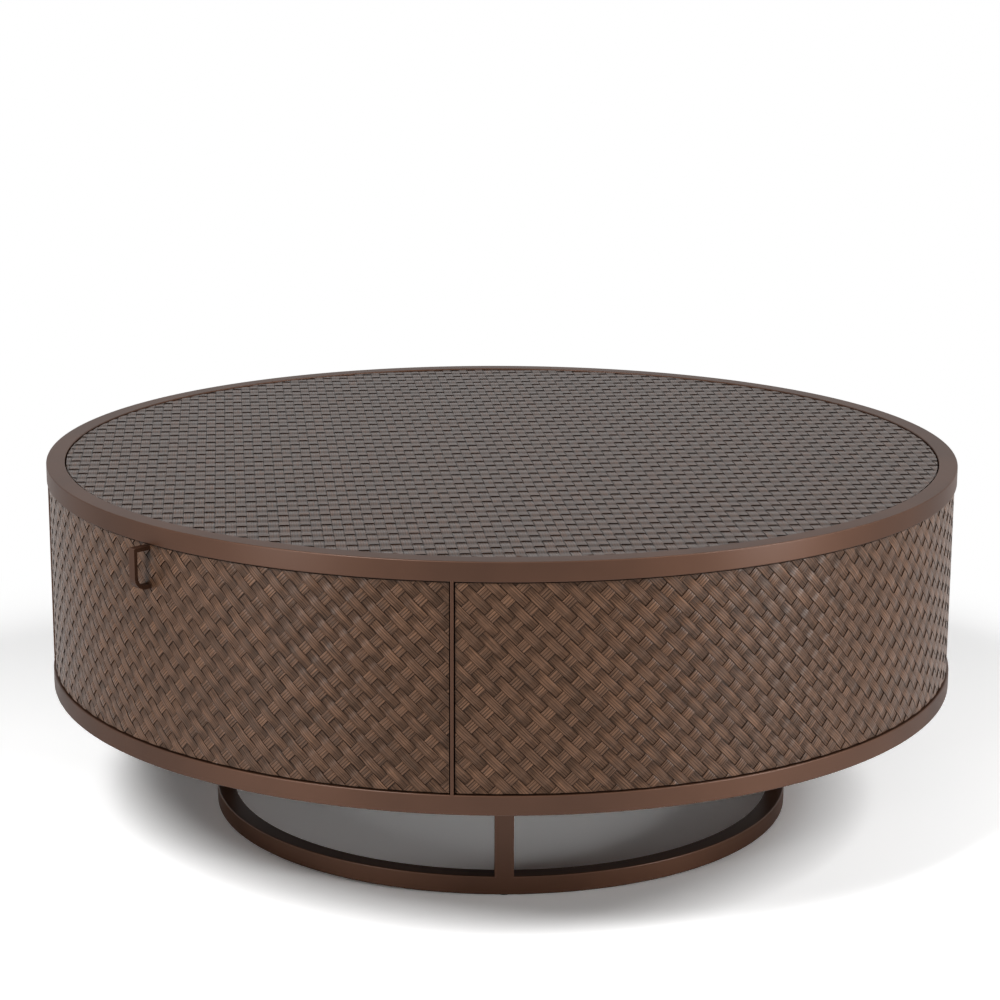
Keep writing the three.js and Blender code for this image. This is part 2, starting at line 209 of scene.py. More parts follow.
def seen_directly(tree):
    """1 on rays from the camera, from a mirror or through glass, and 0 on the light that falls on
    matt surfaces: the largest of the three marks of a ray."""
    path = add(tree, "ShaderNodeLightPath").outputs
    eye_or_mirror = {0: path["Is Camera Ray"], 1: path["Is Glossy Ray"]}
    seen = add(tree, "ShaderNodeMath", eye_or_mirror, operation="MAXIMUM")
    return add(tree, "ShaderNodeMath", {0: seen, 1: path["Is Transmission Ray"]}, operation="MAXIMUM")


fill = add(sky, "ShaderNodeBackground", {"Color": linear("#ffffff"), "Strength": fill_level})
backdrop = add(sky, "ShaderNodeBackground", {"Color": linear("#ffffff"), "Strength": 1.0})
sky_mix = add(sky, "ShaderNodeMixShader", {0: seen_directly(sky), 1: fill, 2: backdrop})
add(sky, "ShaderNodeOutputWorld", {"Surface": sky_mix})

# White seamless paper. Light falls on a matt sheet, which the camera and reflections see a little
# brighter. Away from the table it goes over into the white backdrop: 3t^2 - 2t^3 of the distance.
paper_gain = 1.25
sweep_start, sweep_end = 1.0, 1.4
floor_material, tree = new_material("white seamless paper")
spot = add(tree, "ShaderNodeTexCoord").outputs["Object"]
away = add(tree, "ShaderNodeVectorMath", {0: spot}, operation="LENGTH")
fade = add(tree, "ShaderNodeMapRange", {
    "Value": away, "From Min": sweep_start, "From Max": sweep_end,
}, interpolation_type="SMOOTHSTEP")
gained_white = (paper_gain, paper_gain, paper_gain, 1.0)
paper = add(tree, "ShaderNodeBsdfDiffuse", {"Color": linear("#ebebeb"), "Roughness": 0.5})
bright_paper = add(tree, "ShaderNodeBsdfDiffuse", {"Color": gained_white, "Roughness": 0.5})
white = add(tree, "ShaderNodeEmission", {"Color": linear("#ffffff"), "Strength": 1.0})
sweep = add(tree, "ShaderNodeMixShader", {0: fade, 1: bright_paper, 2: white})
floor_mix = add(tree, "ShaderNodeMixShader", {0: seen_directly(tree), 1: paper, 2: sweep})
finish_material(tree, floor_mix)

floor_half = 9.0
floor_mesh = bpy.data.meshes.new("floor")
corners = [(floor_half * x, floor_half * y, 0) for x, y in ((-1, -1), (1, -1), (1, 1), (-1, 1))]
floor_mesh.from_pydata(corners, [], [(0, 1, 2, 3)])
floor_mesh.materials.append(floor_material)
floor = bpy.data.objects.new("floor", floor_mesh)
bpy.context.scene.collection.objects.link(floor)
floor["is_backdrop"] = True


lamp_aim = 0.3


def softbox(name, azimuth, distance, height, width, tall, power):
    """A rectangular lamp, in metres and watts, that looks at a point on the table's axis. Its azimuth is
    measured from the line of view, in degrees, positive to the right."""
    data = bpy.data.lights.new(name, "AREA")
    data.shape = "RECTANGLE"
    data.size = width
    data.size_y = tall
    data.energy = power
    lamp = bpy.data.objects.new(name, data)
    turn = math.radians(azimuth)
    spot = to_part @ Vector((distance * math.sin(turn), -distance * math.cos(turn), height))
    lamp.location = spot
    lamp.rotation_euler = (Vector((0, 0, lamp_aim)) - spot).to_track_quat("-Z", "Y").to_euler()
    bpy.context.scene.collection.objects.link(lamp)
    return lamp


softbox("left_bank", azimuth=-36, distance=2.5, height=2.6, width=0.9, tall=1.2, power=88)
softbox("left_low", azimuth=-46, distance=3.0, height=0.35, width=0.8, tall=0.4, power=20)
softbox("right_front", azimuth=62, distance=2.5, height=2.6, width=0.9, tall=1.2, power=54)
softbox("right_low", azimuth=60, distance=3.0, height=0.4, width=0.7, tall=0.5, power=40)
softbox("right_bank", azimuth=85, distance=3.0, height=2.2, width=0.8, tall=0.8, power=14)

# %% [markdown]
# Every new piece is a set of points worked out as whole arrays, plus lists of faces that index them.
# One function lays such arrays into a mesh, gives it a material, and hands back the object, which
# stays at the origin: its place is in its points.

# %% From arrays to a piece


def lay(name, points, face_groups, material, smooth=True, sharp_degrees=40, attributes=None):
    """Builds an object from points (N, 3) in millimetres and groups of faces, each group an integer
    array (F, sides)."""
    mesh = bpy.data.meshes.new(name)
    groups = [np.asarray(g, np.int64) for g in face_groups if len(g)]
    corners = np.concatenate([g.ravel() for g in groups])
    sides = np.concatenate([np.full(len(g), g.shape[1]) for g in groups])
    starts = np.concatenate([[0], np.cumsum(sides)[:-1]])
    mesh.vertices.add(len(points))
    mesh.vertices.foreach_set("co", (np.asarray(points) * MM).astype(np.float32).ravel())
    mesh.loops.add(len(corners))
    mesh.loops.foreach_set("vertex_index", corners.astype(np.int32))
    mesh.polygons.add(len(sides))
    mesh.polygons.foreach_set("loop_start", starts.astype(np.int32))
    mesh.update(calc_edges=True)
    for key, values in (attributes or {}).items():
        kind = "FLOAT_VECTOR" if values.ndim == 2 else "FLOAT"
        attribute = mesh.attributes.new(key, kind, "POINT")
        field = "vector" if values.ndim == 2 else "value"
        attribute.data.foreach_set(field, values.astype(np.float32).ravel())
    mesh.polygons.foreach_set("use_smooth", np.full(len(sides), smooth))
    if smooth:
        mesh.set_sharp_from_angle(angle=math.radians(sharp_degrees))
    mesh.materials.append(material)
    piece = bpy.data.objects.new(name, mesh)
    bpy.context.scene.collection.objects.link(piece)
    return piece


def even_shading(piece):
    """Weighted normals: big flat faces stay flat, and only the small faces of a rounded edge bend the
    light."""
    modifier = piece.modifiers.new("flat faces stay flat", "WEIGHTED_NORMAL")
    modifier.keep_sharp = True
    modifier.weight = 100
    return piece


def rounded_rectangle(width, height, radius, steps=5):
    """Outline, anticlockwise, of a rectangle round the origin: each corner is a quarter circle of that
    radius."""
    quarter = np.linspace(0, math.pi / 2, steps + 1)
    parts = []
    for turn, (sx, sy) in enumerate([(1, -1), (1, 1), (-1, 1), (-1, -1)]):
        angle = quarter + (turn - 1) * math.pi / 2
        middle = np.array([sx * (width / 2 - radius), sy * (height / 2 - radius)])
        parts.append(middle + radius * np.stack([np.cos(angle), np.sin(angle)], 1))
    return np.concatenate(parts)


print("a rounded square has", len(rounded_rectangle(tube, tube, tube_corner)), "points")

# %% [markdown]
# A ring of square tube is its rounded section carried round the axis. The section's corners are the
# bend radius of the tube wall, about one and a half millimetres, and they are what draws the thin
# bright line along the rim. 288 stations keep the outline within four hundredths of a millimetre of
# a true circle.

# %% Turned rings
ring_stations = 288


def around(radius, azimuth):
    """Plan point at a radius and an azimuth, measured from -Y towards +X."""
    return np.stack(np.broadcast_arrays(radius * np.sin(azimuth), -radius * np.cos(azimuth)), -1)


def wrapped_quads(rows, columns, first=0):
    """Quads of a grid that closes on itself both ways."""
    i, j = np.meshgrid(np.arange(rows), np.arange(columns), indexing="ij")
    ni, nj = (i + 1) % rows, (j + 1) % columns
    quads = np.stack([i * columns + j, ni * columns + j, ni * columns + nj, i * columns + nj], -1)
    return first + quads.reshape(-1, 4)


def ring_points(outer, low):
    """Points of a tube ring: (r, z) of the section turned to (r sin a, -r cos a, z) at each azimuth a."""
    section = rounded_rectangle(tube, tube, tube_corner)
    azimuth = np.linspace(0, 2 * math.pi, ring_stations, endpoint=False)
    radius = section[:, 0] + outer - tube / 2
    plan = around(radius[None, :], azimuth[:, None])
    height = np.broadcast_to(section[None, :, 1] + low + tube / 2, plan.shape[:2])
    points = np.concatenate([plan, height[..., None]], -1)
    return points.reshape(-1, 3), wrapped_quads(ring_stations, len(section))


print("one ring:", len(ring_points(drum_radius, rim_low[2])[1]), "faces")

# %% [markdown]
# Bars, boards, tabs and pulls are flat outlines with a thickness. The outline is drawn once, shrunk a
# little towards both ends so that the long edges come out rounded, and closed with a flat face at
# each end.

# %% Solids from an outline


def inset(outline, distance):
    """Moves each point inwards along the mean of its two edges' normals, lengthened at corners so that
    both edges move by the distance."""
    before = outline - np.roll(outline, 1, 0)
    after = np.roll(outline, -1, 0) - outline
    normals = []
    for edge in (before, after):
        edge = edge / np.maximum(np.linalg.norm(edge, axis=1, keepdims=True), 1e-9)
        normals.append(np.stack([-edge[:, 1], edge[:, 0]], 1))
    mean = normals[0] + normals[1]
    mean /= np.maximum((mean**2).sum(1, keepdims=True) / 2, 0.2)
    return outline + mean * distance


def thick(outline, low, high, edge=0.6, steps=3):
    """Solid between two heights over an anticlockwise outline (N, 2), its rims rounded: the outline is
    inset by edge * (1 - sin t) at height edge * (1 - cos t)."""
    t = np.linspace(0, math.pi / 2, steps + 1)
    offsets = edge * (1 - np.sin(t))
    rises = edge * (1 - np.cos(t))
    layers = [(low + r, o) for r, o in zip(rises, offsets)]
    layers += [(high - r, o) for r, o in zip(rises[::-1], offsets[::-1])]
    count = len(outline)
    points = np.concatenate([np.column_stack([inset(outline, o), np.full(count, z)]) for z, o in layers])
    i, j = np.meshgrid(np.arange(len(layers) - 1), np.arange(count), indexing="ij")
    nj = (j + 1) % count
    walls = np.stack([i * count + j, i * count + nj, (i + 1) * count + nj, (i + 1) * count + j], -1)
    bottom = np.arange(count)[::-1][None]
    top = (len(layers) - 1) * count + np.arange(count)[None]
    return points, [walls.reshape(-1, 4), np.concatenate([bottom, top])]


def turned(points, azimuth):
    """Turns points about the table's axis, so that what faced -Y faces that azimuth."""
    c, s = math.cos(azimuth), math.sin(azimuth)
    return points @ np.array([[c, s, 0], [-s, c, 0], [0, 0, 1]])


def together(parts):
    """Several (points, face groups) as one, with the indices of the later ones moved up."""
    points, groups, first = [], [], 0
    for part_points, part_groups in parts:
        points.append(part_points)
        groups += [np.asarray(g) + first for g in part_groups]
        first += len(part_points)
    return np.concatenate(points), groups


print("a tab has", len(thick(rounded_rectangle(36, 25, 1), 0, 3)[0]), "points")

# %% [markdown]
# The metal is steel tube plated and lacquered to a satin bronze. Plated metal reflects its own
# brown, so it is a metal in the shader, with a dark base colour. Its edge tint is turned down: an aged
# bronze doesn't flare to white at a glancing view, but goes to a neutral grey, which is how the flat
# top of the rim looks. A thin clear lacquer lies over it. The plating varies slowly over more than a
# hand's width. The satin comes from brushing lines a tenth of a millimetre apart, which no picture at
# this size can show, so the grit that stands for them is drawn ten times as coarse.

# %% Bronze


def bronze_material():
    """Satin bronze: slow cloudy tone, small roughness changes, and a bump of a fraction of a millimetre."""
    material, tree = new_material("satin bronze plating on steel")
    spot = add(tree, "ShaderNodeTexCoord").outputs["Object"]
    clouds = add(tree, "ShaderNodeTexNoise", {
        "Vector": spot, "Scale": grains(143), "Detail": 3.0, "Roughness": 0.55,
    })
    grit = add(tree, "ShaderNodeTexNoise", {
        "Vector": spot, "Scale": grains(1.1), "Detail": 2.0, "Roughness": 0.6,
    })
    tone = add(tree, "ShaderNodeMapRange", {"Value": clouds, "From Min": 0.35, "From Max": 0.65})
    browns = {0: tone, "A": linear("#483023"), "B": linear("#503628")}
    colour = add(tree, "ShaderNodeMix", browns, data_type="RGBA")
    satin = add(tree, "ShaderNodeMapRange", {
        "Value": clouds, "From Min": 0.3, "From Max": 0.7, "To Min": 0.55, "To Max": 0.63,
    })
    bump = add(tree, "ShaderNodeBump", {"Height": grit, "Strength": 0.12, "Distance": 0.2 * MM})
    shader = add(tree, "ShaderNodeBsdfPrincipled", {
        "Base Color": colour,
        "Metallic": 1.0,
        "Roughness": satin,
        "Specular Tint": (0.4, 0.4, 0.4, 1.0),
        "Coat Weight": 0.35,
        "Coat Roughness": 0.3,
        "Normal": bump,
    })
    finish_material(tree, shader)
    return material


bronze = bronze_material()
print("made", bronze.name)

# %% [markdown]
# The drum's two rings carry welded tabs for the top and bottom boards. The four rings are one
# function at four places.

# %% The four rings
tab_width, tab_depth, tab_thickness = 36, 25, 3
tab_count, tab_corner, tab_edge = 8, 2, 0.5
weld_overlap = 0.5
board_gap = 0.3


def ring_piece(name, node, outer, low, tab_low=None):
    """A tube ring, with eight tabs on its inner face where tab_low is given."""
    points, quads = ring_points(outer, low)
    parts = [(points, [quads])]
    if tab_low is not None:
        outline = rounded_rectangle(tab_width, tab_depth, tab_corner)
        tab_points, tab_groups = thick(outline, tab_low, tab_low + tab_thickness, edge=tab_edge)
        tab_points = tab_points - np.array([0, outer - tube - tab_depth / 2 + weld_overlap, 0])
        for index in range(tab_count):
            azimuth = (index + 0.5) * 2 * math.pi / tab_count
            parts.append((turned(tab_points, azimuth), tab_groups))
    points, groups = together(parts)
    piece = even_shading(lay(name, points, groups, bronze))
    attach(piece, "root")
    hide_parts(node)
    return piece


board_bottom_high = box_mm("bottom_board")[1][2]
board_top_low = box_mm("top_board")[0][2]
ring_piece("rim", "top_rim", drum_radius, rim_low[2], board_top_low - board_gap - tab_thickness)
ring_piece("drum_foot_ring", "bottom_ring", drum_radius, foot_low[2], board_bottom_high + board_gap)
ring_piece("floor_ring", "base_ring", base_radius, base_low[2])
ring_piece("under_ring", "base_top_ring", base_radius, base_top_low[2])
print("rings at", [round(float(z), 1) for z in (rim_low[2], foot_low[2], base_low[2], base_top_low[2])])

# %% [markdown]
# The thin bars between the rings and the uprights of the base are welded and ground flush, so their
# outer faces follow the curve of the rings. Each is an outline in plan with a bent front edge, raised
# until it meets the flat of the tube beyond its rounded corner.

# %% Bars and uprights


def bar_outline(width, depth, outer, corner_radius, steps=4):
    """Plan of a bar that faces -Y: a rounded rectangle whose points are moved towards the axis by the
    fall of a circle of that radius, width by width."""
    outline = rounded_rectangle(width, depth, corner_radius, steps)
    x = np.linspace(-1, 1, 9)[1:-1] * (width / 2 - corner_radius)
    front = np.column_stack([x, np.full(len(x), -depth / 2)])
    from_front_left = np.abs(outline - np.array([corner_radius - width / 2, -depth / 2]))
    front_first = np.argmin(from_front_left.sum(1))
    outline = np.insert(outline, front_first + 1, front, axis=0)
    plan_y = outline[:, 1] - outer + depth / 2
    fall = outer - np.sqrt(outer**2 - outline[:, 0] ** 2)
    share = np.clip(-outline[:, 1] / depth + 0.5, 0, 1)
    return np.column_stack([outline[:, 0], plan_y + fall * share])


def upright_piece(name, node, outline, low, high, azimuth):
    """A bar outline raised from low to high, turned to an azimuth."""
    points, groups = thick(outline, low, high, edge=0.2, steps=1)
    piece = even_shading(lay(name, turned(points, azimuth), groups, bronze))
    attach(piece, "root")
    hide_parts(node)
    return piece


upright_depth = tube - 0.4
bar_setback, bar_corner = 0.05, 0.7
bar_low, bar_high = foot_high[2] - tube_corner, rim_low[2] + tube_corner
bar_plan = bar_outline(bar_width, upright_depth, drum_radius - bar_setback, bar_corner)
for name, azimuth in {
    "front_left": -drawer_half,
    "front_right": drawer_half,
    "back_left": math.pi + drawer_half,
    "back_right": math.pi - drawer_half,
}.items():
    upright_piece(f"bar_{name}", f"mullion_{name}", bar_plan, bar_low, bar_high, azimuth)

post_low, post_high = base_high[2] - tube_corner, base_top_low[2] + tube_corner
post_plan = bar_outline(tube, upright_depth, base_radius, tube_corner)
for index in range(4):
    azimuth = math.pi / 4 + index * math.pi / 2
    number = index + 1
    upright_piece(f"base_upright_{number}", f"upright_{number}", post_plan, post_low, post_high, azimuth)
standing = [o.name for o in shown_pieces() if o.name.startswith(("bar_", "base_upright"))]
print("bars and uprights:", standing)

# %% [markdown]
# Each drawer has a pull of flat strip: a top leg, an upright grip, a round bend and a lower leg that
# comes back to the panel. The grip's outline is a letter J seen from the side, carried across the
# width of the strip.

# %% Pulls
pull_width, pull_thickness, pull_bend, pull_corner, pull_edge = 10.3, 5, 16.5, 1.5, 0.3
pull_low_box, pull_high_box = box_mm("drawer_a_pull")
pull_bottom, pull_top = pull_low_box[2], pull_high_box[2]
pull_face = -pull_low_box[1]
pull_foot = weave_outer - 0.7


def pull_outline(steps=14):
    """Side view (distance from the axis, height), anticlockwise: quarter circles for the bend, outside
    and inside, and straight legs."""
    quarter = np.linspace(-math.pi / 2, 0, steps)
    circle = np.stack([np.cos(quarter), np.sin(quarter)], 1)
    bend = np.array([pull_face - pull_bend, pull_bottom + pull_bend])
    outside = bend + pull_bend * circle
    inside = bend + (pull_bend - pull_thickness) * circle[::-1]
    small = np.linspace(0, math.pi / 2, 5)
    corner = np.array([pull_face - pull_corner, pull_top - pull_corner])
    top_corner = corner + pull_corner * np.stack([np.cos(small), np.sin(small)], 1)
    lower = pull_top - pull_thickness
    return np.concatenate([
        [[pull_foot, pull_bottom]], outside, top_corner, [[pull_foot, pull_top], [pull_foot, lower]],
        [[pull_face - pull_thickness, lower]], inside, [[pull_foot, pull_bottom + pull_thickness]],
    ])


for letter, azimuth in (("a", 0.0), ("b", math.pi)):
    points, groups = thick(pull_outline(), -pull_width / 2, pull_width / 2, edge=pull_edge)
    points = np.column_stack([points[:, 2], -points[:, 0], points[:, 1]])
    groups = [g[:, ::-1] for g in groups]
    piece = even_shading(lay(f"pull_{letter}", turned(points, azimuth), groups, bronze))
    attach(piece, f"drawer_{letter}")
    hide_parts(f"drawer_{letter}_pull")
print(f"pull from {pull_bottom:.1f} to {pull_top:.1f} mm, face at {pull_face:.1f}")

# %% [markdown]
# The woven sheets are split cane, stained brown. Wide strips lie side by side and run one way, and
# narrower-spaced gaps are left between the strips that cross them, so each wide strip shows as a long
# float and each crossing as a small square. A flat picture of a weave would give neither the shadow
# beside each square nor the light that runs over each float, so every strip is real here: a section
# with softened edges, carried along a path that climbs over one crossing and dives under the next.

# %% The shape of a strip
cane_thickness, cane_rise = 0.95, 0.98
edge_soft, edge_flat = 0.3, 0.7
edge_drop, soft_drop, crown = 0.12, 0.02, 0.06


def cane_section(width):
    """Section of a strip, (across, height), going across the top and back underneath: a shallow crown
    and softened edges, mirrored about the middle."""
    h, t = width / 2, cane_thickness
    rising = np.array([(-h, t - edge_drop), (edge_soft - h, t - soft_drop), (edge_flat - h, t)])
    falling = rising[::-1] * (-1, 1)
    return np.concatenate([rising, [(0, t + crown)], falling, [(h, 0), (-h, 0)]])


print("section of a 12 mm strip:", cane_section(12).round(2).tolist())

# %% [markdown]
# A strip lies high where it goes over, low where it dives under, and slopes softly between. It is cut
# exactly at the edge of the sheet, so for every line it has to be known where it enters the sheet and
# where it leaves it. A side sheet is a rectangle once it is unrolled, and the top sheet is a disc.

# %% Rise and fall, and the edge of a sheet


def over_share(along, over_at, period, flat, foot):
    """How far a strip is lifted: 1 within `flat` of the nearest crossing that it goes over, 0 beyond
    `foot`, and 3t^2 - 2t^3 between."""
    away = np.abs((along - over_at + period / 2) % period - period / 2)
    t = np.clip((foot - away) / (foot - flat), 0, 1)
    return t * t * (3 - 2 * t)


def rectangle_span(low, high):
    """For lines start + s * run: where each enters and leaves the rectangle, from its crossings with the
    two pairs of sides. A second function gives how far the region reaches along a direction."""
    low, high = np.asarray(low, float), np.asarray(high, float)

    def span(start, run):
        first, second = (low - start) / run, (high - start) / run
        return np.minimum(first, second).max(-1), np.maximum(first, second).min(-1)

    corners = np.array([[low[0], low[1]], [high[0], low[1]], [high[0], high[1]], [low[0], high[1]]])
    return span, lambda side: ((corners @ side).min(), (corners @ side).max())


def disc_span(radius):
    """For lines start + s * run: the two roots of |start + s run| = radius, and the disc's reach, which
    is its radius along every direction."""

    def span(start, run):
        along = start @ run
        room = np.sqrt(np.maximum(along**2 - (start**2).sum(-1) + radius**2, 0))
        return -along - room, -along + room

    return span, lambda side: (-radius, radius)


print("lift at 0, 8 and 20 mm:", over_share(np.array([0.0, 8.0, 20.0]), 0, 50, 2.5, 14).round(2))

# %% [markdown]
# All strips of one direction are worked out as one array: strip number, station along the strip,
# point of the section. Stations beyond the edge are pulled back onto it, and the faces between two
# stations that became one are left out. Each point also takes notes for the material: where it is on
# its strip, how near the strip's edge, and how high it is lifted.

# %% All strips of one direction
width_spread, lift_spread = 0.012, 0.10
own_stretch = 977.0


def strips(run_angle, origin, pitch, crossing, over_parity, width, profile, edge_span, random, only=None):
    """All strips of one direction, cut to a region: plan points, heights, and per-point notes, with faces.

    Strip i's middle line is origin + i * pitch * side + s * run. It is lifted by cane_rise over the
    crossings where its number plus the crossing's number is odd or even as over_parity says, and each
    point of the section adds its own height. A profile is the stations along one float, how far from
    its middle the float is flat and where it ends, and the spacing and depth of the dark fibre lines.
    No two strips are quite alike: width, lift and tone differ a little."""
    marks, flat, foot, line_spacing, line_depth = profile
    section = cane_section(width)
    run = np.array([math.cos(run_angle), math.sin(run_angle)])
    side = np.array([-run[1], run[0]])
    span, limits = edge_span
    side_low, side_high = (limit - origin @ side for limit in limits(side))
    lowest = math.ceil((side_low - width / 2) / pitch)
    highest = math.floor((side_high + width / 2) / pitch)
    numbers = np.arange(lowest, highest + 1)
    if only is not None:
        numbers = numbers[numbers % 2 == only]
    narrowing = 1 - width_spread * random.random(len(numbers))
    across = section[None, :, 0] * narrowing[:, None]
    sideways = np.clip(numbers[:, None] * pitch + across, side_low, side_high)
    start = origin + sideways[..., None] * side
    enter, leave = span(start, run)
    leave = np.maximum(leave, enter)
    over_at = ((numbers + over_parity) % 2) * crossing
    period = 2 * crossing
    cells = np.arange(math.floor(enter.min() / period) - 1, math.ceil(leave.max() / period) + 2)
    stations = (cells[:, None] * period + marks[None, :]).ravel()[None, :] + over_at[:, None]
    along = np.clip(stations[:, :, None], enter[:, None, :], leave[:, None, :])
    share = over_share(along, over_at[:, None, None], period, flat, foot)
    level = cane_rise * share * (1 + lift_spread * (random.random(len(numbers)) - 0.5))[:, None, None]
    height = level + section[None, None, :, 1]
    plan = origin + sideways[:, None, :, None] * side + along[..., None] * run
    rows, columns, loop = along.shape
    first = np.stack([np.searchsorted(stations[r], enter[r], side="right") - 1 for r in range(rows)])
    last = np.stack([np.searchsorted(stations[r], leave[r], side="left") for r in range(rows)])
    kept = np.clip(np.arange(columns)[None, :, None], first[:, None, :], last[:, None, :])
    index = (np.arange(rows)[:, None, None] * columns + kept) * loop + np.arange(loop)[None, None, :]
    here, there = index[:, :-1], index[:, 1:]
    quads = np.stack([here, there, np.roll(there, -1, 2), np.roll(here, -1, 2)], -1).reshape(-1, 4)
    left_gone, right_gone = quads[:, 0] == quads[:, 1], quads[:, 2] == quads[:, 3]
    faces4 = quads[~left_gone & ~right_gone]
    faces3 = np.concatenate([quads[left_gone & ~right_gone][:, 1:], quads[right_gone & ~left_gone][:, :3]])
    caps = np.concatenate([index[:, 0, :], index[:, -1, ::-1]])
    own = random.random(rows)[:, None, None]
    along_note = along + own_stretch * own
    line_count = across[:, None, :] / line_spacing + own
    to_edge = width / 2 - np.abs(section[:, 0])
    notes = {
        "strip": np.stack(np.broadcast_arrays(along_note, across[:, None, :], own), -1).reshape(-1, 3),
        "edge": np.broadcast_to(to_edge, along.shape).reshape(-1),
        "line": np.stack(np.broadcast_arrays(line_count, line_depth, share), -1).reshape(-1, 3),
    }
    return plan.reshape(-1, 2), height.reshape(-1), notes, [faces4, faces3, caps]


print(f"strips are up to {width_spread:.1%} narrower and lifted {lift_spread / 2:.0%} more or less")

# %% [markdown]
# Two sets of strips that cross make a weave. The stations that were pulled onto the edge leave points
# that no face uses. They are dropped, so that no stray point stays in the mesh.

# %% Joining the sets


def tidy_weave(sets, wrap):
    """Joins the sets of strips, drops points that no face uses, and puts them in space with
    wrap(plan, height)."""
    points, groups, notes, first = [], [], [], 0
    for plan, height, note, faces in sets:
        used = np.unique(np.concatenate([f.ravel() for f in faces]))
        new = np.zeros(len(plan), np.int64)
        new[used] = np.arange(len(used)) + first
        points.append(wrap(plan[used], height[used]))
        notes.append({key: values[used] for key, values in note.items()})
        groups += [new[f] for f in faces]
        first += len(used)
    merged = {key: np.concatenate([note[key] for note in notes]) for key in notes[0]}
    return np.concatenate(points), groups, merged


def lay_flat(plan, height):
    """The strips' plan and height, with the sheet's underside on the top board."""
    return np.column_stack([plan, top_low[2] + height])


four_points = (np.zeros((4, 2)), np.zeros(4), {"edge": np.zeros(4)}, [np.array([[0, 1, 3]])])
print("of four points with one face,", len(tidy_weave([four_points], lay_flat)[0]), "are kept")

# %% [markdown]
# Split cane is glossy on its skin side and full of long fibres. The stain sinks into the open grain,
# so each strip shows dark hair lines along its length and takes a tone of its own. Most real lines are
# half a millimetre to a millimetre apart, but one pixel of the picture covers more than that, so they
# are drawn about three millimetres apart, four on a strip. The pattern follows the strip, not space, so
# it reads the strip's own measure in millimetres: distance along, distance across, and a number that no
# other strip has.

# %% Stained split cane
fibre_share, slow_share, own_share = 0.66, 0.30, 0.05
dark_stop, middle_stop, pale_stop = 0.40, 0.52, 0.66
own_places = 83.0
line_core, line_halo, line_wander = 0.05, 0.20, 0.5
fibre_relief, line_groove = 0.4, 0.6
# Painted shade: valley darkens the low parts of a strip, and edge_dark the band along its edges.
valley, valley_lift = 0.74, 0.7
edge_dark, edge_reach = 0.15, 0.8


